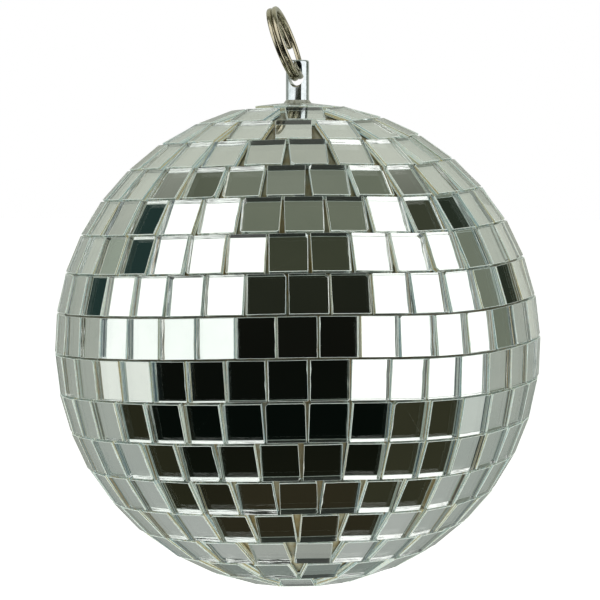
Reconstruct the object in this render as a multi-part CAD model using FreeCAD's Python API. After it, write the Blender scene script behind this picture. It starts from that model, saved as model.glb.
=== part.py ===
import FreeCAD, Part
import math
import os
import random

from FreeCAD import Vector

os.makedirs("parts", exist_ok=True)

# Mirror ball of the five-inch class, hanging from a split ring.
# Origin: centre of the cross hole in the hanger pin, on the ball's axis.
# +Z is up, and the cross hole runs along Y.

# ---- driving dimensions, mm and degrees ----
core_radius = 60.4            # outside of the hollow plastic core
core_wall = 2.0
hole_to_ball_centre = 69.0    # cross hole down to the ball's centre
glue_thickness = 0.12
bed_gap = 0.02                # keeps the tile backs clear of the glue coat
overshoot = 1.0               # how far a cutting tool runs past what it cuts

tile_thickness = 2.0
tile_height = 9.9
tile_width = 9.62
row_count = 8                 # rows in each hemisphere
row_pitch = 9.56              # degrees of latitude per row
row_rise = 0.45               # lifts every row a little above level
pattern_lean = 2.2            # the rows lean against the pin
pattern_turn = 10.0           # longitude the rows are counted from
side_gap = 0.13               # least gap between two neighbours' back edges

# The rows were laid by hand and sag together in one place.
sag_depth = 1.6               # degrees of latitude
sag_centre = 40.0             # degrees of longitude
sag_width = 28.0
slope_step = 0.5              # degrees either way over which the sag's slope is taken

# Hand-laying errors of one tile, as the largest value either way.
tilt_error = 0.9
turn_error = 0.35
place_error = 0.02
upper_seed = 1                # first row's random seed in each hemisphere
lower_seed = 101

# Tiles per row from the equator to the pole, and the longitude of one joint.
upper_tiles = [39, 37, 35, 31, 27, 22, 16, 9]
upper_joints = [4.8, 8.0, 3.9, 9.0, 5.2, -1.2, -9.0, -7.4]
lower_tiles = [39, 37, 35, 32, 27, 22, 16, 10]
lower_joints = [2.3, 1.7, 0.0, 4.5, -2.0, -5.0, -3.7, 11.0]

# Rows near the poles are laid a little further up, clear of the row below.
row_creep = [0, 0, 0, 0, 0, 0.05, 0.2, 0.55]

cap_tiles = 8
top_cap_inner = 3.95          # flat-to-axis distance of the nipped inner ends
top_cap_outer = 10.2
bottom_cap_inner = 4.5
bottom_cap_outer = 11.6
bottom_centre_flat = 4.1      # flat-to-axis distance of the middle tile

pin_radius = 3.0
pin_top = 4.65
pin_length = 34.0
pin_rounding = 0.6
pin_lead_chamfer = 0.8
eye_radius = 2.0
eye_mouth_radius = 2.5
pin_clearance = 0.05

boss_radius = 7.0
boss_depth = 9.0
rib_count = 4
rib_thickness = 1.6
rib_reach = 15.0
rib_turn = 45.0
lip_height = 4.0
lip_root_depth = 6.0
lip_radius = 58.0
lip_wall = 1.5
lip_root_bite = 0.6

washer_radius = 6.0
washer_hole_radius = 3.2
washer_thickness = 1.6
nut_across_flats = 10.0
nut_height = 4.6
nut_collar_radius = 4.6
nut_collar_height = 2.0
nut_bore = 3.03
insert_radius = 4.1
insert_bore = 3.01
insert_height = 1.6
insert_clearance = 0.02

bead_radius = 3.6
bead_climb = 0.8
bead_clearance = 0.02
bead_root = 0.5               # the bead's depth below the top of the core

ring_mean_radius = 9.2
ring_wire_radial = 1.6
ring_wire_axial = 1.35
ring_turn_offset = 0.7        # each turn's distance from the ring's mid plane
ring_centre_height = 9.45     # from the cross hole to the ring's centre
ring_lean = -20.0
ring_turns_degrees = 650.0    # length of the coil, from one free end to the other
ring_ramp_start = 315.0       # where along the coil the wire crosses to the other turn
ring_ramp_end = 360.0
ring_start_angle = 165.0      # where the first free end lies, round from the top
ring_path_step = 6.5

ball_centre = Vector(0, 0, -hole_to_ball_centre)
coat_radius = core_radius + glue_thickness
bed_radius = coat_radius + bed_gap
x_axis = Vector(1, 0, 0)
y_axis = Vector(0, 1, 0)
z_axis = Vector(0, 0, 1)


def export(shape, node):
    """Write one node's solids to its own STEP file."""
    shape.exportStep("parts/" + node + ".step")


def revolved(points):
    """Turn a closed outline of (radius, height) pairs about the Z axis."""
    corners = [Vector(radius, 0, height) for radius, height in points]
    face = Part.Face(Part.makePolygon(corners + corners[:1]))
    return face.revolve(Vector(0, 0, 0), z_axis, 360)


def half_shell(inner, outer, upper):
    """Hollow half ball round the ball's centre."""
    start, end = (0, 90) if upper else (-90, 0)
    outside = Part.makeSphere(outer, ball_centre, z_axis, start, end, 360)
    inside = Part.makeSphere(inner, ball_centre, z_axis, start, end, 360)
    return outside.cut(inside)


def upright_cylinder(radius, bottom, top):
    """Cylinder on the pin's axis between two heights."""
    return Part.makeCylinder(radius, top - bottom, Vector(0, 0, bottom), z_axis)


# ---- rows of tiles ----
def row_sag(longitude):
    """Latitude the rows lose to the sag at one longitude."""
    away = (longitude - sag_centre + 180) % 360 - 180
    return sag_depth * math.exp(-((away / sag_width) ** 2))


def sag_slope(longitude):
    """Degrees of latitude lost per degree of longitude."""
    rise = row_sag(longitude + slope_step) - row_sag(longitude - slope_step)
    return rise / (2 * slope_step)


def standing(latitude, longitude):
    """Turn from a tile lying at the pole to one standing at its place in the rows."""
    out_of_pole = FreeCAD.Rotation(x_axis, 90 - latitude)
    round_ball = FreeCAD.Rotation(z_axis, longitude + pattern_turn)
    lean = FreeCAD.Rotation(y_axis, -pattern_lean)
    return FreeCAD.Placement(ball_centre, lean.multiply(round_ball).multiply(out_of_pole))


def own_errors(chance, turn):
    """The tile's own turn and tilts about the middle of its back, and its shift."""
    turning = FreeCAD.Rotation(z_axis, turn + chance.uniform(-turn_error, turn_error))
    turning = turning.multiply(FreeCAD.Rotation(x_axis, chance.uniform(-tilt_error, tilt_error)))
    turning = turning.multiply(FreeCAD.Rotation(y_axis, chance.uniform(-tilt_error, tilt_error)))
    east = chance.uniform(-place_error, place_error)
    north = chance.uniform(-place_error, place_error)
    return FreeCAD.Placement(Vector(east, north, bed_radius), turning)


def widest_tile(latitude, count):
    """Widest tile whose back corners clear the neighbours at a latitude."""
    polar = math.radians(abs(latitude))
    near_pole = bed_radius * math.cos(polar) - tile_height / 2 * math.sin(polar)
    return 2 * near_pole * math.tan(math.pi / count) - side_gap


def tile_row(latitude, count, joint, seed):
    """Every tile of one row, each with its own small laying errors."""
    chance = random.Random(seed)
    steepest = latitude + row_rise
    if latitude < 0:
        steepest = latitude + row_rise - sag_depth
    width = min(tile_width, widest_tile(steepest, count))
    corner = Vector(-width / 2, -tile_height / 2, 0)
    solids = []
    for index in range(count):
        longitude = joint + (index + 0.5) * 360.0 / count
        centre_latitude = latitude + row_rise - row_sag(longitude)
        slope = -sag_slope(longitude) / math.cos(math.radians(latitude))
        turn = math.degrees(math.atan(slope))
        tile = Part.makeBox(width, tile_height, tile_thickness, corner)
        placing = standing(centre_latitude, longitude)
        tile.Placement = placing.multiply(own_errors(chance, turn))
        solids.append(tile)
    return Part.makeCompound(solids)


for row in range(row_count):
    middle = (row + 0.5) * row_pitch + row_creep[row]
    upper_row = tile_row(middle, upper_tiles[row], upper_joints[row], upper_seed + row)
    export(upper_row, "tile_row_upper_" + str(row + 1))
    lower_row = tile_row(-middle, lower_tiles[row], lower_joints[row], lower_seed + row)
    export(lower_row, "tile_row_lower_" + str(row + 1))


# ---- nipped tiles that close the two poles ----
def nipped_tile(inner, outer):
    """Wedge-shaped tile, drawn flat at the pole and laid back on the ball."""
    middle = (inner + outer) / 2
    off_pole = math.asin(middle / bed_radius)
    half_angle = math.pi / cap_tiles
    inner_half = inner * math.tan(half_angle) - side_gap / 2
    outer_half = min(outer * math.tan(half_angle) - side_gap / 2, tile_width / 2)
    corners = [
        Vector(-inner_half, middle - inner, 0),
        Vector(inner_half, middle - inner, 0),
        Vector(outer_half, middle - outer, 0),
        Vector(-outer_half, middle - outer, 0),
    ]
    face = Part.Face(Part.makePolygon(corners + corners[:1]))
    tile = face.extrude(z_axis * tile_thickness)
    tile.translate(Vector(0, 0, bed_radius))
    tile.rotate(Vector(0, 0, 0), x_axis, math.degrees(off_pole))
    return tile


def cap_ring(inner, outer):
    """All the nipped tiles round one pole, about the origin."""
    solids = []
    for index in range(cap_tiles):
        tile = nipped_tile(inner, outer)
        tile.rotate(Vector(0, 0, 0), z_axis, index * 360.0 / cap_tiles)
        solids.append(tile)
    return solids


top_cap = Part.makeCompound(cap_ring(top_cap_inner, top_cap_outer))
top_cap.translate(ball_centre)
export(top_cap, "top_cap_tiles")

centre_corner = bottom_centre_flat / math.cos(math.pi / cap_tiles)
centre_corners = []
for index in range(cap_tiles):
    angle = (index + 0.5) * 2 * math.pi / cap_tiles
    along = centre_corner * math.cos(angle)
    across = centre_corner * math.sin(angle)
    centre_corners.append(Vector(along, across, bed_radius))
centre_face = Part.Face(Part.makePolygon(centre_corners + centre_corners[:1]))
centre_tile = centre_face.extrude(z_axis * tile_thickness)
bottom_cap = Part.makeCompound([centre_tile] + cap_ring(bottom_cap_inner, bottom_cap_outer))
bottom_cap.rotate(Vector(0, 0, 0), y_axis, 180 - pattern_lean)
bottom_cap.translate(ball_centre)
export(bottom_cap, "bottom_cap_tiles")


# ---- hollow core ----
core_top = core_radius - hole_to_ball_centre
boss_bottom = core_top - core_wall - boss_depth
shell_inside = core_radius - core_wall
pin_hole_radius = pin_radius + pin_clearance
pin_hole = upright_cylinder(pin_hole_radius, boss_bottom - overshoot, core_top + overshoot)

boss = upright_cylinder(boss_radius, boss_bottom, core_top - core_wall / 2)
for index in range(rib_count):
    rib_corner = Vector(0, -rib_thickness / 2, boss_bottom)
    rib = Part.makeBox(rib_reach, rib_thickness, boss_depth + core_wall, rib_corner)
    rib.rotate(Vector(0, 0, 0), z_axis, index * 360.0 / rib_count + rib_turn)
    boss = boss.fuse(rib)
boss = boss.common(Part.makeSphere(core_radius - core_wall / 2, ball_centre))

upper_shell = half_shell(shell_inside, core_radius, True).fuse(boss)
upper_shell = upper_shell.cut(pin_hole).removeSplitter()
export(upper_shell, "upper_core_shell")

seam = -hole_to_ball_centre
lip = revolved([
    (lip_radius - lip_wall, seam - lip_root_depth),
    (shell_inside + lip_root_bite, seam - lip_root_depth),
    (shell_inside + lip_root_bite, seam),
    (lip_radius, seam),
    (lip_radius, seam + lip_height),
    (lip_radius - lip_wall, seam + lip_height),
])
lower_shell = half_shell(shell_inside, core_radius, False).fuse(lip)
export(lower_shell.removeSplitter(), "lower_core_shell")

# ---- glue under the tiles and round the pin ----
bead_bore = pin_radius + bead_clearance
bead_hole = upright_cylinder(bead_radius + bead_clearance, core_top - overshoot, 0)
upper_coat = half_shell(core_radius, coat_radius, True).cut(bead_hole)
export(upper_coat, "upper_glue_coat")
export(half_shell(core_radius, coat_radius, False), "lower_glue_coat")

glass_top = bed_radius + tile_thickness - hole_to_ball_centre
bead_outline = [
    (bead_bore, core_top - bead_root),
    (bead_radius, core_top - bead_root),
    (bead_radius, glass_top),
    (bead_bore, glass_top + bead_climb),
]
bead = revolved(bead_outline).cut(Part.makeSphere(core_radius, ball_centre))
export(bead, "pin_glue_bead")

# ---- hanger pin with its cross hole ----
pin_bottom = pin_top - pin_length
shaft = upright_cylinder(pin_radius, pin_bottom, pin_top)
rims = [edge for edge in shaft.Edges if edge.Curve.TypeId == "Part::GeomCircle"]
rims.sort(key=lambda edge: edge.CenterOfMass.z)
shaft = shaft.makeChamfer(pin_lead_chamfer, rims[:1])
rims = [edge for edge in shaft.Edges if edge.Curve.TypeId == "Part::GeomCircle"]
rims.sort(key=lambda edge: edge.CenterOfMass.z)
shaft = shaft.makeFillet(pin_rounding, rims[-1:])
eye_length = 2 * (pin_radius + overshoot)
eye = Part.makeCylinder(eye_radius, eye_length, Vector(0, -eye_length / 2, 0), y_axis)
mouth_depth = eye_mouth_radius - eye_radius
for side in (-1, 1):
    mouth_start = Vector(0, side * (pin_radius - mouth_depth), 0)
    mouth_end_radius = eye_mouth_radius + overshoot
    mouth_length = mouth_depth + overshoot
    mouth = Part.makeCone(eye_radius, mouth_end_radius, mouth_length, mouth_start, y_axis * side)
    eye = eye.fuse(mouth)
export(shaft.cut(eye), "hanger_pin")

# ---- washer and lock nut that hold the pin inside the core ----
washer_top = boss_bottom
washer_bottom = washer_top - washer_thickness
washer = upright_cylinder(washer_radius, washer_bottom, washer_top)
washer_hole_top = washer_top + overshoot
washer = washer.cut(upright_cylinder(washer_hole_radius, washer_bottom - overshoot, washer_hole_top))
export(washer, "pin_washer")

nut_top = washer_bottom
nut_bottom = nut_top - nut_height
collar_bottom = nut_bottom - nut_collar_height
nut_corner = nut_across_flats / 2 / math.cos(math.pi / 6)
hexagon = []
for index in range(6):
    angle = index * math.pi / 3
    hexagon.append(Vector(nut_corner * math.cos(angle), nut_corner * math.sin(angle), nut_bottom))
nut = Part.Face(Part.makePolygon(hexagon + hexagon[:1])).extrude(z_axis * nut_height)
nut = nut.fuse(upright_cylinder(nut_collar_radius, collar_bottom, nut_bottom))
nut = nut.cut(upright_cylinder(nut_bore, collar_bottom - overshoot, nut_top + overshoot))
insert_bottom = collar_bottom + (nut_collar_height - insert_height) / 2
insert_top = insert_bottom + insert_height
groove_bottom = insert_bottom - insert_clearance
groove_top = insert_top + insert_clearance
nut = nut.cut(upright_cylinder(insert_radius + insert_clearance, groove_bottom, groove_top))
export(nut.removeSplitter(), "lock_nut")

insert = upright_cylinder(insert_radius, insert_bottom, insert_top)
insert_hole_top = insert_top + overshoot
insert = insert.cut(upright_cylinder(insert_bore, insert_bottom - overshoot, insert_hole_top))
export(insert, "lock_nut_insert")


# ---- split ring: one wire coiled nearly twice, standing in the cross hole ----
def wire_offset(travel):
    """Distance of the wire from the ring's mid plane, after some degrees of coil."""
    share = (travel - ring_ramp_start) / (ring_ramp_end - ring_ramp_start)
    share = min(max(share, 0.0), 1.0)
    eased = share * share * (3 - 2 * share)
    return ring_turn_offset * (1 - 2 * eased)


def coil_point(travel):
    """Point on the wire's centre line, with the ring's axis along X."""
    angle = math.radians(ring_start_angle + travel)
    across = ring_mean_radius * math.sin(angle)
    up = ring_mean_radius * math.cos(angle)
    return Vector(wire_offset(travel), across, up)


steps = int(round(ring_turns_degrees / ring_path_step))
path_points = [coil_point(step * ring_path_step) for step in range(steps + 1)]
path = Part.BSplineCurve()
path.interpolate(path_points)
first_angle = math.radians(ring_start_angle)
outward = Vector(0, math.sin(first_angle), math.cos(first_angle))
section = Part.Ellipse(
    path_points[0] + outward * (ring_wire_radial / 2),
    path_points[0] + x_axis * (ring_wire_axial / 2),
    path_points[0],
)
sweep = Part.BRepOffsetAPI.MakePipeShell(Part.Wire(path.toShape()))
sweep.setBiNormalMode(x_axis)
sweep.add(Part.Wire(section.toShape()))
sweep.build()
sweep.makeSolid()
ring = sweep.shape()
ring.translate(Vector(0, 0, ring_centre_height))
ring.rotate(Vector(0, 0, 0), y_axis, ring_lean)
export(ring, "split_ring")
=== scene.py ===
import bpy
import bmesh
import math
import random
from mathutils import Euler, Matrix, Vector, noise
from mathutils.kdtree import KDTree


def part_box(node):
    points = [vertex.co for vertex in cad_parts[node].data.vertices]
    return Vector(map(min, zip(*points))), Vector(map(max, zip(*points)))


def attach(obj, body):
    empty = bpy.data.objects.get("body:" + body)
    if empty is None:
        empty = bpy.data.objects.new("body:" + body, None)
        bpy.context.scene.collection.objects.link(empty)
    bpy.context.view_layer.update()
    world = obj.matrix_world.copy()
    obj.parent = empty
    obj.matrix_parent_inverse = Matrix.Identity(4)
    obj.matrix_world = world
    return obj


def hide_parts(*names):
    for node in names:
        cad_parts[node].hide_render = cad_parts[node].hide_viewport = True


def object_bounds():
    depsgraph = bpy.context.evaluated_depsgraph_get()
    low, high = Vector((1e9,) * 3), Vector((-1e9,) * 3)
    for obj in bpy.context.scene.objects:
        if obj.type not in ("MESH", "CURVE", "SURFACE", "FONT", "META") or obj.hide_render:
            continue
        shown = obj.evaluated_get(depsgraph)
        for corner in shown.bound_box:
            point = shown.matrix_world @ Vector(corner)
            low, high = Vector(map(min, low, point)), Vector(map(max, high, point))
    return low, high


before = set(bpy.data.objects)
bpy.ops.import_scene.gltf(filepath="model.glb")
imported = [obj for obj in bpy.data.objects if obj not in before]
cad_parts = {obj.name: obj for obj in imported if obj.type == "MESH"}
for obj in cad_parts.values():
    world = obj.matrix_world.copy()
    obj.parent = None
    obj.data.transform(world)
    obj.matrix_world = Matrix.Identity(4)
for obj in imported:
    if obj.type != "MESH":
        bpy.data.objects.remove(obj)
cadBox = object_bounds()

mm = 0.001
deg = math.pi / 180


def linear(hexText):  # sRGB hex to linear RGBA
    channels = [int(hexText[i:i + 2], 16) / 255 for i in (1, 3, 5)]
    return tuple(c / 12.92 if c <= 0.04045 else ((c + 0.055) / 1.055) ** 2.4 for c in channels) + (1.0,)


def addNode(tree, kind, settings=None, links=None):
    made = tree.nodes.new(kind)
    for name, value in (settings or {}).items():
        if isinstance(name, str) and hasattr(made, name):
            setattr(made, name, value)
        else:
            made.inputs[name].default_value = value
    for name, output in (links or {}).items():
        tree.links.new(output, made.inputs[name])
    return made


def newMaterial(name):
    material = bpy.data.materials.new(name)
    material.use_nodes = True
    tree = material.node_tree
    tree.nodes.clear()
    return material, tree


def finishMaterial(tree, shader, volume=None):
    output = addNode(tree, "ShaderNodeOutputMaterial", {}, {"Surface": shader.outputs[0]})
    if volume:
        tree.links.new(volume.outputs[0], output.inputs["Volume"])


def twoTone(tree, dark, light, size):
    # soft cloud between two colours; size is one cloud in metres
    place = addNode(tree, "ShaderNodeTexCoord")
    clouds = addNode(tree, "ShaderNodeTexNoise", {"Scale": 1 / size, "Detail": 3.0},
                     {"Vector": place.outputs["Object"]})
    ramp = addNode(tree, "ShaderNodeValToRGB", {}, {"Fac": clouds.outputs["Fac"]})
    darkStop, lightStop = ramp.color_ramp.elements
    darkStop.position, lightStop.position = 0.35, 0.65
    darkStop.color, lightStop.color = linear(dark), linear(light)
    return ramp.outputs["Color"]


# where the ball and its pin are, read off the frame
coatLow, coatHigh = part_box("upper_glue_coat")
ballCentre = Vector(((coatLow.x + coatHigh.x) / 2, (coatLow.y + coatHigh.y) / 2, coatLow.z))
coatRadius = (coatHigh.x - coatLow.x) / 2
pinLow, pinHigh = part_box("hanger_pin")
pinRadius = (pinHigh.x - pinLow.x) / 2

camera = {
    "azimuth": 10.0,       # degrees round the ball, 0 is -Y
    "elevation": 3.83,
    "distance": 0.7216,
    "lens": 166.6,
    "sensor": 36,
    "aimUp": 0.916,        # the ball hangs low in the frame
    "aimRight": 0.05,
}

glassLook = {
    "ior": 1.52,
    "tint": "#fdfefd",
    "tintDeep": "#fafcfb",
    "cloud": 9 * mm,
}
glassDepth = {"Color": linear("#a9c9b6"), "Density": 12.0}   # iron in the melt
edgeLook = {
    "streak": 0.7 * mm,
    "hackle": 0.25 * mm,       # ridges that the snap leaves
    "hackleDepth": 0.015 * mm,
    # three tones of a streak
    "plain": ("#d3ded9", "#eef3ef", "#e6e4d6"),
    "cold": ("#a9c3cb", "#d5e3e6", "#c3d6cf"),
    "warm": ("#d2bb80", "#ece2c2", "#c9c29c"),
    "clean": ("#f2f6f4", "#f8faf8", "#f0f5f2"),
}
# painted glow: the broken edges give off a little light of their own, standing in for light piped along
# inside the glass from all round
edgePaintedGlow = {
    "plain": ("#b4c4ba", 0.36),
    "cold": ("#9dc0cc", 0.2),
    "warm": ("#cdb67a", 0.2),
    "clean": ("#b4c4ba", 0.03),
}


def glassMaterial(name, roughness):
    material, tree = newMaterial(name)
    colour = twoTone(tree, glassLook["tintDeep"], glassLook["tint"], glassLook["cloud"])
    shader = addNode(tree, "ShaderNodeBsdfPrincipled",
                     {"Roughness": roughness, "IOR": glassLook["ior"], "Transmission Weight": 1.0},
                     {"Base Color": colour})
    finishMaterial(tree, shader, addNode(tree, "ShaderNodeVolumeAbsorption", glassDepth))
    return material


def snappedGlassMaterial(name, kind, roughness, clear, hackleShare):
    material, tree = newMaterial(name)
    # tones of the streaks, and the colour and strength of the painted glow
    tones, (glow, paintedGlowStrength) = edgeLook[kind], edgePaintedGlow[kind]
    place = addNode(tree, "ShaderNodeTexCoord")
    streaks = addNode(tree, "ShaderNodeTexNoise", {"Scale": 1 / edgeLook["streak"], "Detail": 2.0},
                      {"Vector": place.outputs["Object"]})
    ramp = addNode(tree, "ShaderNodeValToRGB", {}, {"Fac": streaks.outputs["Fac"]})
    stops = ramp.color_ramp.elements
    stops[0].position, stops[1].position = 0.36, 0.64
    stops[0].color, stops[1].color = linear(tones[0]), linear(tones[2])
    stops.new(0.5).color = linear(tones[1])
    hackle = addNode(tree, "ShaderNodeTexNoise", {"Scale": 1 / edgeLook["hackle"], "Detail": 3.0},
                     {"Vector": place.outputs["Object"]})
    bump = addNode(tree, "ShaderNodeBump",
                   {"Strength": hackleShare, "Distance": edgeLook["hackleDepth"]},
                   {"Height": hackle.outputs["Fac"]})
    # the emission here is painted glow on the edge, not a lamp
    shader = addNode(tree, "ShaderNodeBsdfPrincipled",
                     {"Roughness": roughness, "IOR": glassLook["ior"], "Transmission Weight": clear,
                      "Emission Color": linear(glow), "Emission Strength": paintedGlowStrength},
                     {"Base Color": ramp.outputs["Color"], "Normal": bump.outputs["Normal"]})
    finishMaterial(tree, shader, addNode(tree, "ShaderNodeVolumeAbsorption", glassDepth))
    return material


def silverMaterial(name):
    material, tree = newMaterial(name)
    colour = twoTone(tree, "#f1f3f0", "#f8f9f6", 14 * mm)
    shader = addNode(tree, "ShaderNodeBsdfPrincipled", {"Metallic": 1.0, "Roughness": 0.0},
                     {"Base Color": colour})
    finishMaterial(tree, shader)
    return material


def plainMaterial(name, dark, light, size, roughness, metallic=0.0, coat=0.0,
                  bumpDepth=0.0, bumpSize=1 * mm):
    material, tree = newMaterial(name)
    colour = twoTone(tree, dark, light, size)
    shader = addNode(tree, "ShaderNodeBsdfPrincipled",
                     {"Roughness": roughness, "Metallic": metallic, "Coat Weight": coat},
                     {"Base Color": colour})
    if bumpDepth:
        place = addNode(tree, "ShaderNodeTexCoord")
        grain = addNode(tree, "ShaderNodeTexNoise", {"Scale": 1 / bumpSize, "Detail": 5.0},
                        {"Vector": place.outputs["Object"]})
        bump = addNode(tree, "ShaderNodeBump", {"Strength": 0.6, "Distance": bumpDepth},
                       {"Height": grain.outputs["Fac"]})
        tree.links.new(bump.outputs["Normal"], shader.inputs["Normal"])
    finishMaterial(tree, shader)
    return material


# float glass, fire-polished: only the mirror behind it shows, and a faint green along long paths
floatGlass = glassMaterial("floatGlassFace", 0.0)
# glass snapped along a score: frosty, or clear with cold or warm glints between its ridges, each with a
# painted glow
edgePlain = snappedGlassMaterial("snappedEdgeFrosted", "plain", 0.3, 0.35, 0.6)
edgeCold = snappedGlassMaterial("snappedEdgeCold", "cold", 0.06, 0.8, 0.4)
edgeWarm = snappedGlassMaterial("snappedEdgeWarm", "warm", 0.06, 0.75, 0.4)
# a clean long cut: a smooth side that mirrors the tile's own bright or dark view as a band, with a faint
# painted glow
edgeClean = snappedGlassMaterial("cleanCutEdge", "clean", 0.02, 0.95, 0.1)
# the scored arris, crushed by the cutter's wheel: a thin whitish outline, partly frosty glass and partly
# a painted glow
arrisGlass = snappedGlassMaterial("scoredArris", "plain", 0.35, 0.4, 0.6)
# silver deposited on the back of the glass: a perfect mirror with hardly a colour
silverCoat = silverMaterial("silverMirrorCoat")
# grey paint rolled over the silver: a dull dark line behind each tile
backingPaint = plainMaterial("mirrorBackingPaint", "#4c4f49", "#63665d", 2 * mm, 0.6)
# contact glue brushed on and dried: amber to greyish, lumpy, with a skin that shines a little
contactGlue = plainMaterial("contactGlueDried", "#86713a", "#a6a58c", 5 * mm, 0.32,
                            coat=0.3, bumpDepth=0.12 * mm, bumpSize=0.8 * mm)
# the same glue pulled into a bead: smoother, paler and glossier
beadGlue = plainMaterial("contactGlueBead", "#8f8f7c", "#b9bcae", 0.8 * mm, 0.25,
                         coat=0.4, bumpDepth=0.03 * mm, bumpSize=0.6 * mm)
# steel with bright zinc plating: cool, with sharp light and dark stripes down the pin
zincPlate = plainMaterial("brightZincPlatedSteel", "#c6cecf", "#dbe2e4", 1.2 * mm, 0.12, 1.0)
# spring steel, barrel plated with nickel: warmer than zinc, its highlights slightly soft
nickelPlate = plainMaterial("nickelPlatedSpringSteel", "#b3ab92", "#c6bfa8", 1.5 * mm, 0.22, 1.0)
# natural nylon, moulded: milky white and half matt
nylonWhite = plainMaterial("naturalNylon", "#d9dad4", "#e6e7e1", 1 * mm, 0.45)
# polystyrene, moulded and unpainted: an even mid grey
corePlastic = plainMaterial("mouldedPolystyrene", "#83837f", "#8f8f8b", 6 * mm, 0.5)
print("materials made")

cadMeshLook = {
    "weld": 0.002 * mm,
    "flatAngle": 0.5 * deg,     # flatter edges than this are dissolved
    "sharpAngle": 32 * deg,
    "bevelAngle": 40 * deg,
    "bevelSteps": 2,
}


def newObject(name, mesh, materials, body, nodes):
    item = bpy.data.objects.new(name, mesh)
    bpy.context.scene.collection.objects.link(item)
    for material in materials:
        mesh.materials.append(material)
    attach(item, body)
    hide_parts(*nodes)
    return item


def carriedOver(name, node, material, bevel=0.0):
    # the CAD piece itself, welded and smoothed, with softened edges
    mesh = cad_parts[node].data.copy()
    mesh.materials.clear()
    work = bmesh.new()
    work.from_mesh(mesh)
    bmesh.ops.remove_doubles(work, verts=work.verts, dist=cadMeshLook["weld"])
    bmesh.ops.dissolve_limit(work, angle_limit=cadMeshLook["flatAngle"], verts=work.verts,
                             edges=work.edges)
    work.to_mesh(mesh)
    work.free()
    for polygon in mesh.polygons:
        polygon.use_smooth = True
    mesh.set_sharp_from_angle(angle=cadMeshLook["sharpAngle"])
    item = newObject(name, mesh, [material], "ball", [node])
    if bevel:
        soften = item.modifiers.new("softEdges", "BEVEL")
        soften.width = bevel
        soften.segments = cadMeshLook["bevelSteps"]
        soften.limit_method = "ANGLE"
        soften.angle_limit = cadMeshLook["bevelAngle"]
        soften.harden_normals = True


def meshOf(name, verts, faces, looks=None):
    mesh = bpy.data.meshes.new(name)
    mesh.from_pydata([tuple(v) for v in verts], [], faces)
    if looks:
        mesh.polygons.foreach_set("material_index", looks)
    mesh.update()
    return mesh


# tiles: each CAD tile becomes a snapped piece of silvered glass
tileLook = {
    "arris": 0.06 * mm,        # crushed front edge that the cutter's wheel leaves
    "backing": 0.1 * mm,       # paint behind the silver
    "backingGap": 0.01 * mm,
    "backingInset": 0.03 * mm,
    "levels": (0.1, 0.21, 0.33, 0.46, 0.6, 0.73, 0.87),   # where a side changes slope, of its depth
    "levelSpread": 0.035,
    "rough": 0.13 * mm,        # how far the cross cuts stray, left and right
    "clean": 0.025 * mm,       # and the long cuts, top and bottom
    "ripple": 0.02 * mm,       # straying along an edge
    "step": 1.9 * mm,          # length between ripples
    "stepSpread": 0.2,
    "flake": 0.16 * mm,        # shell chip on a rough front edge
    "flakeLeast": 0.3,
    "flakeShare": 0.12,
    "cornerSmall": (0.06 * mm, 0.16 * mm),
    "cornerChip": (0.35 * mm, 0.8 * mm),
    "chipShare": 0.1,
    "firstSeed": 500,
}
tileRows = 8                   # in each half
frontDepth = 0.05 * mm         # corners this close to the front face belong to it
levelEnough = 0.9              # an edge this much along the row is a long cut
poleEnough = 0.2               # a tile facing this near the pole takes its east from Y

glassSlots = [floatGlass, edgePlain, silverCoat, backingPaint, arrisGlass, edgeCold, edgeWarm, edgeClean]
faceSlot, plainSlot, silverSlot, paintSlot, arrisSlot, coldSlot, warmSlot, cleanSlot = range(8)
roughSlots = (plainSlot, plainSlot, coldSlot, warmSlot, cleanSlot)


def tileIslands(work):
    # groups the corners of a CAD row into its separate tiles
    seen = set()
    for start in work.verts:
        if start in seen:
            continue
        island, queue = [], [start]
        seen.add(start)
        while queue:
            vert = queue.pop()
            island.append(vert)
            for edge in vert.link_edges:
                other = edge.other_vert(vert)
                if other not in seen:
                    seen.add(other)
                    queue.append(other)
        yield island


def tileFrames(node):
    # every separate tile of a CAD row: its front outline, outward direction and thickness
    work = bmesh.new()
    work.from_mesh(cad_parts[node].data)
    bmesh.ops.remove_doubles(work, verts=work.verts, dist=cadMeshLook["weld"])
    tiles = []
    for island in tileIslands(work):
        middle = sum((v.co for v in island), Vector()) / len(island)
        out = (middle - ballCentre).normalized()
        faces = {face for v in island for face in v.link_faces}
        front = max(faces, key=lambda face: face.normal.dot(out))
        normal = front.normal.copy()
        heights = [(v.co - middle).dot(normal) for v in island]
        top = max(heights)
        outline = [v.co.copy() for v, h in zip(island, heights) if h > top - frontDepth]
        centre = sum(outline, Vector()) / len(outline)
        east = Vector((0, 0, 1)).cross(normal)
        if east.length < poleEnough:
            east = Vector((0, 1, 0)).cross(normal)
        east.normalize()
        north = normal.cross(east)
        # square the tile's own axes to its longest side
        sides = ((b - a) for a in outline for b in outline)
        longest = max(sides, key=lambda d: abs(d.dot(east)) - abs(d.dot(north)))
        along = (longest - normal * longest.dot(normal)).normalized()
        if along.dot(east) < 0:
            along = -along
        across = normal.cross(along)
        flat = [((p - centre).dot(along), (p - centre).dot(across)) for p in outline]
        flat.sort(key=lambda p: math.atan2(p[1], p[0]))
        tiles.append({"centre": centre, "normal": normal, "along": along, "across": across,
                      "outline": flat, "thick": top - min(heights)})
    work.free()
    return tiles


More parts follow.
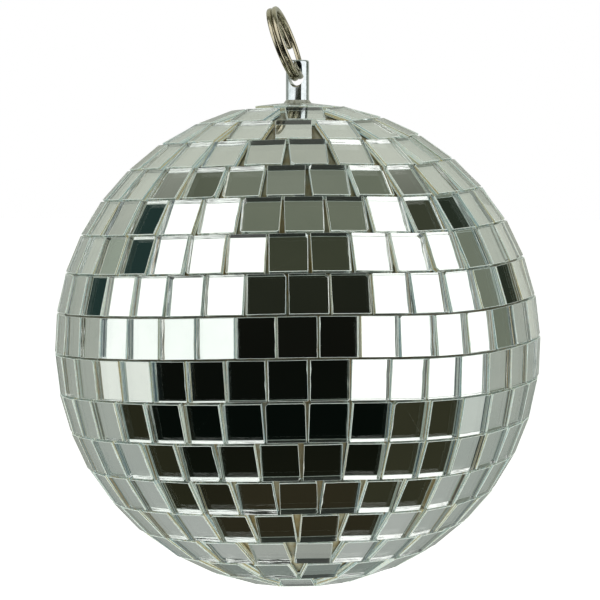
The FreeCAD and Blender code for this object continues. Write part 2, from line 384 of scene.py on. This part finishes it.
def snappedSide(a, b, firstChip, lastChip, levelCount, chance):
    # one side of a tile: how each level down its depth strays from the straight cut
    along = (b - a).normalized()
    inward = Vector((-along.y, along.x))
    length = (b - a).length
    clean = abs(along.x) > levelEnough
    steps = max(2, round(length / tileLook["step"]))
    spread = tileLook["stepSpread"]
    marks = [firstChip / length]
    marks += [(k + chance.uniform(-spread, spread)) / steps for k in range(1, steps)]
    marks += [1 - lastChip / length]
    lean = [chance.uniform(0, tileLook["clean" if clean else "rough"]) for level in range(levelCount)]
    lean[1] = chance.uniform(0, tileLook["ripple"])
    lean[0] = lean[1] + tileLook["arris"]
    stray = [[chance.uniform(0, tileLook["ripple"]) for mark in marks] for level in range(levelCount)]
    for k in range(len(marks)):
        if not clean and chance.random() < tileLook["flakeShare"]:
            stray[1][k] += chance.uniform(tileLook["flakeLeast"], 1) * tileLook["flake"]
    stray[0] = stray[1]
    bands = [cleanSlot if clean else chance.choice(roughSlots) for level in range(levelCount - 2)]
    bands = [arrisSlot, plainSlot] + bands[1:]
    # the outline at each level, and the slot of each band between two levels
    lines = [[a.lerp(b, mark) + inward * (lean[level] + away) for mark, away in zip(marks, stray[level])]
             for level in range(levelCount)]
    plateLine = [p + inward * tileLook["backingInset"] for p in lines[-1]]
    return lines, plateLine, bands


def snappedTile(tile, chance, verts, faces, looks):
    corners = [Vector(corner) for corner in tile["outline"]]
    count = len(corners)
    silverDepth = tile["thick"] - tileLook["backing"]
    spread = tileLook["levelSpread"]
    depths = [0.0, tileLook["arris"]]
    depths += [silverDepth * (share + chance.uniform(-spread, spread)) for share in tileLook["levels"]]
    depths += [silverDepth]
    chips = []
    for corner in corners:
        sort = "cornerChip" if chance.random() < tileLook["chipShare"] else "cornerSmall"
        chips.append(chance.uniform(*tileLook[sort]))
    sides = []
    for k in range(count):
        n = (k + 1) % count
        sides.append(snappedSide(corners[k], corners[n], chips[k], chips[n], len(depths), chance))
    place = Matrix((tile["along"], tile["across"], tile["normal"])).transposed()

    def addRing(points, depth):
        first = len(verts)
        verts.extend(tile["centre"] + place @ Vector((p.x, p.y, -depth)) for p in points)
        return list(range(first, len(verts)))

    def addWall(upper, lower, slots):
        for k, look in enumerate(slots):
            n = (k + 1) % len(upper)
            faces.append([upper[k], lower[k], lower[n], upper[n]])
            looks.append(look)

    rings = [addRing([p for lines, plateLine, bands in sides for p in lines[level]], depth)
             for level, depth in enumerate(depths)]
    faces.append(rings[0][:])
    looks.append(faceSlot)
    for level, (upper, lower) in enumerate(zip(rings, rings[1:])):
        addWall(upper, lower, [bands[level] for lines, plateLine, bands in sides for p in plateLine])
    faces.append(rings[-1][::-1])
    looks.append(silverSlot)
    # painted backing, a thin plate just behind the silver
    platePoints = [p for lines, plateLine, bands in sides for p in plateLine]
    plateFront = addRing(platePoints, silverDepth + tileLook["backingGap"])
    plateBack = addRing(platePoints, tile["thick"])
    faces.append(plateFront[:])
    faces.append(plateBack[::-1])
    looks.extend([paintSlot, paintSlot])
    addWall(plateFront, plateBack, [paintSlot] * len(plateFront))


tileNodes = [f"tile_row_{half}_{row + 1}" for half in ("upper", "lower") for row in range(tileRows)]
tileNodes += ["top_cap_tiles", "bottom_cap_tiles"]
allTiles = []
for nodeNumber, node in enumerate(tileNodes):
    chance = random.Random(tileLook["firstSeed"] + nodeNumber)
    rowTiles = tileFrames(node)
    verts, faces, looks = [], [], []
    for tile in rowTiles:
        snappedTile(tile, chance, verts, faces, looks)
    allTiles += rowTiles
    name = "".join(word.capitalize() for word in node.split("_"))
    newObject(name[0].lower() + name[1:] + "Glass", meshOf(node, verts, faces, looks),
              glassSlots, "ball", [node])
print("tiles made:", len(allTiles))

# glue coat that wells up between the tiles
glueLook = {
    "around": 480,
    "down": 120,
    "innerStep": 10,           # rows of the outside to one of the inside
    "rise": 0.5 * mm,
    "margin": 0.05 * mm,       # kept clear round each tile
    "reach": 0.6 * mm,         # from the margin to the full rise
    "lump": 1.3 * mm,
    "lumpHeight": 0.5,
    "lumpMiddle": 0.6,
    "lumpLeast": 0.1,
    "sink": 0.01 * mm,         # under the CAD coat's face
    "inner": 60.0 / 60.12,     # inner radius of the coat, of its outer radius
    "pinClear": 0.8 * mm,
    "poleGap": 1.0 * deg,
}
tileHeight = 0.2 * mm          # above the coat, where a tile's outline is measured
nearTiles = 5
flattestView = 0.2

tileTree = KDTree(len(allTiles))
for number, tile in enumerate(allTiles):
    tileTree.insert((tile["centre"] - ballCentre).normalized(), number)
tileTree.balance()


def clearOfTiles(direction):
    # distance from a point on the coat to the nearest tile's outline, negative under a tile
    nearest = 1.0
    for co, number, distance in tileTree.find_n(direction, nearTiles):
        tile = allTiles[number]
        reach = (coatRadius + tileHeight) / max(direction.dot(tile["normal"]), flattestView)
        away = ballCentre + direction * reach - tile["centre"]
        x, y = away.dot(tile["along"]), away.dot(tile["across"])
        outside = -1.0
        corners = tile["outline"]
        for (ax, ay), (bx, by) in zip(corners, corners[1:] + corners[:1]):
            length = math.hypot(bx - ax, by - ay)
            outside = max(outside, ((x - ax) * (by - ay) - (y - ay) * (bx - ax)) / length)
        nearest = min(nearest, outside)
    return nearest


def glueRise(direction):
    share = min(max((clearOfTiles(direction) - glueLook["margin"]) / glueLook["reach"], 0), 1)
    lumps = noise.noise((direction * coatRadius) / glueLook["lump"])
    lumps = lumps * glueLook["lumpHeight"] + glueLook["lumpMiddle"]
    return glueLook["rise"] * share * max(lumps, glueLook["lumpLeast"])


def glueCoat(name, node, upper):
    verts, faces = [], []
    around, down = glueLook["around"], glueLook["down"]
    start = math.asin((pinRadius + glueLook["pinClear"]) / coatRadius) if upper else glueLook["poleGap"]
    rings = []
    for row in range(down + 1):
        polar = start + (math.pi / 2 - start) * row / down
        ring = []
        for column in range(around):
            turn = 2 * math.pi * column / around
            direction = Vector((math.sin(polar) * math.cos(turn), math.sin(polar) * math.sin(turn),
                                math.cos(polar) * (1 if upper else -1)))
            ring.append(len(verts))
            verts.append(ballCentre + direction * (coatRadius - glueLook["sink"] + glueRise(direction)))
        rings.append(ring)
    innerRings = []
    for row in range(0, down + 1, glueLook["innerStep"]):
        ring = []
        for outerVert in rings[row]:
            direction = (verts[outerVert] - ballCentre).normalized()
            ring.append(len(verts))
            verts.append(ballCentre + direction * coatRadius * glueLook["inner"])
        innerRings.append(ring)
    loops = rings + innerRings[::-1] + [rings[0]]
    for first, second in zip(loops, loops[1:]):
        for k in range(around):
            n = (k + 1) % around
            quad = [first[k], second[k], second[n], first[n]]
            faces.append(quad if upper else quad[::-1])
    mesh = meshOf(name, verts, faces)
    for polygon in mesh.polygons:
        polygon.use_smooth = True
    newObject(name, mesh, [contactGlue], "ball", [node])


glueCoat("glueCoatUpper", "upper_glue_coat", True)
glueCoat("glueCoatLower", "lower_glue_coat", False)
print("glue made")

# pin, its fastening inside, and the core
edgeSoftness = {"washer": 0.15 * mm, "nut": 0.2 * mm}
carriedOver("hangerPin", "hanger_pin", zincPlate)
carriedOver("pinWasher", "pin_washer", zincPlate, edgeSoftness["washer"])
carriedOver("lockNut", "lock_nut", zincPlate, edgeSoftness["nut"])
carriedOver("lockNutInsert", "lock_nut_insert", nylonWhite)
carriedOver("coreShellUpper", "upper_core_shell", corePlastic)
carriedOver("coreShellLower", "lower_core_shell", corePlastic)
carriedOver("glueBead", "pin_glue_bead", beadGlue)


# one wire coiled nearly twice, its turns crossing over in the gap between the free ends
ringLook = {
    "meanRadius": 9.2 * mm,
    "wireRadial": 1.52 * mm,
    "wireAxial": 1.35 * mm,
    "turnOffset": 0.7 * mm,
    "centreHeight": 9.45 * mm,    # above the cross hole
    "lean": -20.0,                # degrees about the cross hole
    "start": 165.0,               # free end, degrees round from the top
    "travel": 650.0,
    "cross": (315.0, 360.0),      # where the wire crosses over
    "step": 1.625,
    "flat": 2.6,                  # power of the wire's rounded section
    "around": 32,
    "endRounding": 0.35 * mm,
    "endSizes": ((0.0, 0.55), (0.4, 0.85), (1.0, 1.0)),   # share of the rounding, share of the wire
}


def splitRing():
    around, flat, travel = ringLook["around"], ringLook["flat"], ringLook["travel"]
    first, last = ringLook["cross"]
    turnBack = Matrix.Rotation(ringLook["lean"] * deg, 3, "Y")
    steps = round(travel / ringLook["step"])
    perStep = ringLook["meanRadius"] * ringLook["step"] * deg
    ends = [(ringLook["endRounding"] * share / perStep, size) for share, size in ringLook["endSizes"]]
    stations = ends + [(k, 1.0) for k in range(1, steps)]
    stations += [(steps - at, size) for at, size in ends[::-1]]
    verts, faces = [], []
    for at, size in stations:
        turned = at * travel / steps
        share = min(max((turned - first) / (last - first), 0.0), 1.0)
        offset = ringLook["turnOffset"] * (1 - 2 * share * share * (3 - 2 * share))
        angle = (ringLook["start"] + turned) * deg
        outward = Vector((0, math.sin(angle), math.cos(angle)))
        for k in range(around):
            turn = 2 * math.pi * k / around
            c, d = math.cos(turn), math.sin(turn)
            swell = (abs(c) ** flat + abs(d) ** flat) ** (-1 / flat) * size / 2
            point = outward * (ringLook["meanRadius"] + c * swell * ringLook["wireRadial"])
            point += Vector((offset + d * swell * ringLook["wireAxial"], 0, ringLook["centreHeight"]))
            verts.append(turnBack @ point)
    lastRow = len(stations) - 1
    for row in range(lastRow):
        for k in range(around):
            n = (k + 1) % around
            here, beyond = row * around, (row + 1) * around
            faces.append([here + k, here + n, beyond + n, beyond + k])
    faces.append(list(range(around))[::-1])
    faces.append([lastRow * around + k for k in range(around)])
    mesh = meshOf("splitRing", verts, faces)
    work = bmesh.new()
    work.from_mesh(mesh)
    bmesh.ops.recalc_face_normals(work, faces=work.faces)
    work.to_mesh(mesh)
    work.free()
    for polygon in mesh.polygons:
        polygon.use_smooth = len(polygon.vertices) == 4
    newObject("splitRing", mesh, [nickelPlate], "ring", ["split_ring"])


splitRing()
print("metal made")

# studio: glowing cards round the ball, a graded room behind them and a pale floor
studio = {
    "floorDrop": 0.22,         # below the ball
    "floorSize": 14.0,
    "floorCloud": 0.4,
    "floorGlow": 0.95,
    "reach": 1.6,              # from the ball to the cards
    "cells": 12,
    "roomGlow": 1.25,          # makes up for the light that a tile's glass and silver lose
    "boxGlow": 1.35,
}
# name: lower edge and upper edge, each as (elevation, from azimuth, to azimuth) in degrees
# seen from the ball; then colour, glow, and how much nearer than the rest in metres
cards = {
    "softboxLeft": ((-5, -105, -27), (60, -97, -22), "#ffffff", "boxGlow", 0.0),
    "softboxLeftSkirt": ((-5, -105, -27), (9, -104, -27), "#f1f5f3", "roomGlow", 0.02),
    "softboxRight": ((-20, 30.5, 100), (60, 33, 94), "#ffffff", "boxGlow", 0.0),
    "softboxLip": ((-18, -106, -78), (-5, -106, -78), "#d6d9d4", "roomGlow", 0.02),
    "flagLeftLow": ((6, -120, -103), (15, -120, -101), "#20302e", "roomGlow", 0.04),
    "flagLeftMiddle": ((15, -112, -101), (27, -112, -97.5), "#20302e", "roomGlow", 0.04),
    "flagLeftHigh": ((27, -115, -97.5), (44, -114, -93), "#20302e", "roomGlow", 0.04),
    "flagRightLow": ((5, 120, 133), (15, 119, 133), "#252b23", "roomGlow", 0.04),
    "flagRightHigh": ((15, 119, 128), (43, 117, 126), "#252b23", "roomGlow", 0.04),
    "wallLeft": ((15.5, -124, -112), (27, -121, -112), "#8b9388", "roomGlow", 0.02),
    "wallRight": ((-4, 100, 120), (36, 100, 118), "#696f63", "roomGlow", 0.0),
    "wallBackRight": ((-2, 134, 156), (15, 134, 156), "#babdb4", "roomGlow", 0.0),
    "tableRight": ((-66, 52, 108), (-24, 52, 94), "#2e2e22", "roomGlow", 0.0),
    "tableRightEdge": ((-25, 96.5, 108), (-19, 96.5, 108), "#b3b8b4", "roomGlow", 0.02),
    "tableLeft": ((-66, -110, -80), (-24, -102, -80), "#242419", "roomGlow", 0.0),
    "tableFront": ((-90, -124, 124), (-64, -124, 124), "#29261b", "roomGlow", 0.02),
    "floorShade": ((-50, 164, 196), (-31, 164, 196), "#787f7b", "roomGlow", 0.0),
}
# the room's colours by elevation: dark round the camera, grey behind the ball and overhead
frontRoom = [(-90, "#2f291c"), (-62, "#1f1e15"), (-45, "#030806"), (5, "#0d0e0b"),
             (24, "#1a1c16"), (48, "#393c30"), (64, "#63685b"), (90, "#757a6f")]
backRoom = [(-80, "#62624f"), (-60, "#a0a3a1"), (-30, "#969b97"), (0, "#9a9e97"),
            (9, "#9ea29a"), (17, "#b2b6ad"), (50, "#b4b7ae"), (75, "#9b9e94"), (90, "#7b7f75")]
# where the front gives way to the back, as shares of the way behind the ball; overhead, from
# one height to the other, the front reaches further round
roomTurn = {"from": 0.1, "to": 0.3, "overheadFrom": -0.05, "overheadTo": 0.25, "overheadReach": 0.4}


def facing(azimuth, elevation):
    a, e = (azimuth + camera["azimuth"]) * deg, elevation * deg
    return Vector((math.sin(a) * math.cos(e), -math.cos(a) * math.cos(e), math.sin(e)))


def blendOf(low, high, share):
    return low + (high - low) * share


def card(name, low, high, colour, glowName, nearer):
    # curved panel that the tiles mirror
    reach = studio["reach"] - nearer
    cells = studio["cells"]
    verts, faces = [], []
    for row in range(cells + 1):
        elevation, left, right = (blendOf(a, b, row / cells) for a, b in zip(low, high))
        for column in range(cells + 1):
            verts.append(ballCentre + facing(blendOf(left, right, column / cells), elevation) * reach)
    for row in range(cells):
        for column in range(cells):
            k = row * (cells + 1) + column
            faces.append((k, k + 1, k + cells + 2, k + cells + 1))
    mesh = meshOf(name, verts, faces)
    item = bpy.data.objects.new(name, mesh)
    bpy.context.scene.collection.objects.link(item)
    material, tree = newMaterial(name + "Cloth")
    glow = addNode(tree, "ShaderNodeEmission",
                   {"Color": linear(colour), "Strength": studio[glowName]})
    finishMaterial(tree, glow)
    mesh.materials.append(material)
    item.visible_camera = False


for name, settings in cards.items():
    card(name, *settings)

world = bpy.data.worlds.new("studioRoom")
bpy.context.scene.world = world
world.use_nodes = True
tree = world.node_tree
tree.nodes.clear()
place = addNode(tree, "ShaderNodeTexCoord")
split = addNode(tree, "ShaderNodeSeparateXYZ", {}, {0: place.outputs["Generated"]})
height = addNode(tree, "ShaderNodeMath", {"operation": "ARCSINE"}, {0: split.outputs["Z"]})
heightShare = addNode(tree, "ShaderNodeMapRange",
                      {"From Min": -math.pi / 2, "From Max": math.pi / 2}, {"Value": height.outputs[0]})

roomColours = []
for stops in (frontRoom, backRoom):
    ramp = addNode(tree, "ShaderNodeValToRGB", {}, {"Fac": heightShare.outputs[0]})
    elements = ramp.color_ramp.elements
    while len(elements) < len(stops):
        elements.new(0.5)
    for element, (elevation, colour) in zip(elements, stops):
        element.position = (elevation + 90) / 180
        element.color = linear(colour)
    roomColours.append(ramp.outputs[0])
frontColour, backColour = roomColours
# the room turns from front to back by compass direction
level = addNode(tree, "ShaderNodeVectorMath", {"operation": "MULTIPLY", 1: (1, 1, 0)},
                {0: place.outputs["Generated"]})
compass = addNode(tree, "ShaderNodeVectorMath", {"operation": "NORMALIZE"}, {0: level.outputs["Vector"]})
behind = addNode(tree, "ShaderNodeVectorMath", {"operation": "DOT_PRODUCT", 1: -facing(0, 0)},
                 {0: compass.outputs["Vector"]})
overhead = addNode(tree, "ShaderNodeMapRange",
                   {"From Min": roomTurn["overheadFrom"], "From Max": roomTurn["overheadTo"],
                    "To Max": roomTurn["overheadReach"]}, {"Value": split.outputs["Z"]})
further = addNode(tree, "ShaderNodeMath", {"operation": "SUBTRACT"},
                  {0: behind.outputs["Value"], 1: overhead.outputs[0]})
behindShare = addNode(tree, "ShaderNodeMapRange",
                      {"From Min": roomTurn["from"], "From Max": roomTurn["to"],
                       "interpolation_type": "SMOOTHSTEP"}, {"Value": further.outputs[0]})
room = addNode(tree, "ShaderNodeMix", {"data_type": "RGBA"},
               {0: behindShare.outputs[0], 6: frontColour, 7: backColour})
roomLight = addNode(tree, "ShaderNodeBackground", {"Strength": studio["roomGlow"]},
                    {"Color": room.outputs[2]})
backdrop = addNode(tree, "ShaderNodeBackground", {"Color": (1, 1, 1, 1), "Strength": 1.0})
rays = addNode(tree, "ShaderNodeLightPath")
either = addNode(tree, "ShaderNodeMixShader", {},
                 {0: rays.outputs["Is Camera Ray"], 1: roomLight.outputs[0], 2: backdrop.outputs[0]})
addNode(tree, "ShaderNodeOutputWorld", {}, {"Surface": either.outputs[0]})

floorSize = studio["floorSize"]
floorZ = cadBox[0].z - studio["floorDrop"]
floor = bpy.data.objects.new("floor", meshOf("floor", [
    (-floorSize, -floorSize, floorZ), (floorSize, -floorSize, floorZ),
    (floorSize, floorSize, floorZ), (-floorSize, floorSize, floorZ)], [(0, 1, 2, 3)]))
bpy.context.scene.collection.objects.link(floor)
floorMaterial, floorTree = newMaterial("paleFloor")
floorColour = twoTone(floorTree, "#f6f6f6", "#fafafa", studio["floorCloud"])
floorShader = addNode(floorTree, "ShaderNodeBsdfPrincipled",
                      {"Roughness": 0.9, "Specular IOR Level": 0.1, "Emission Color": (1, 1, 1, 1),
                       "Emission Strength": studio["floorGlow"]}, {"Base Color": floorColour})
finishMaterial(floorTree, floorShader)
floor.data.materials.append(floorMaterial)
floor.visible_glossy = False
floor.visible_transmission = False

cameraData = bpy.data.cameras.new("camera")
cameraData.lens = camera["lens"]
cameraData.sensor_width = camera["sensor"]
cameraObject = bpy.data.objects.new("camera", cameraData)
bpy.context.scene.collection.objects.link(cameraObject)
back = facing(0, camera["elevation"])
cameraObject.rotation_mode = "QUATERNION"
aim = Euler((camera["aimUp"] * deg, -camera["aimRight"] * deg, 0)).to_quaternion()
cameraObject.location = ballCentre + back * camera["distance"]
cameraObject.rotation_quaternion = (-back).to_track_quat("-Z", "Y") @ aim
bpy.context.scene.camera = cameraObject
bpy.context.scene.view_settings.view_transform = "Standard"
print("studio made")
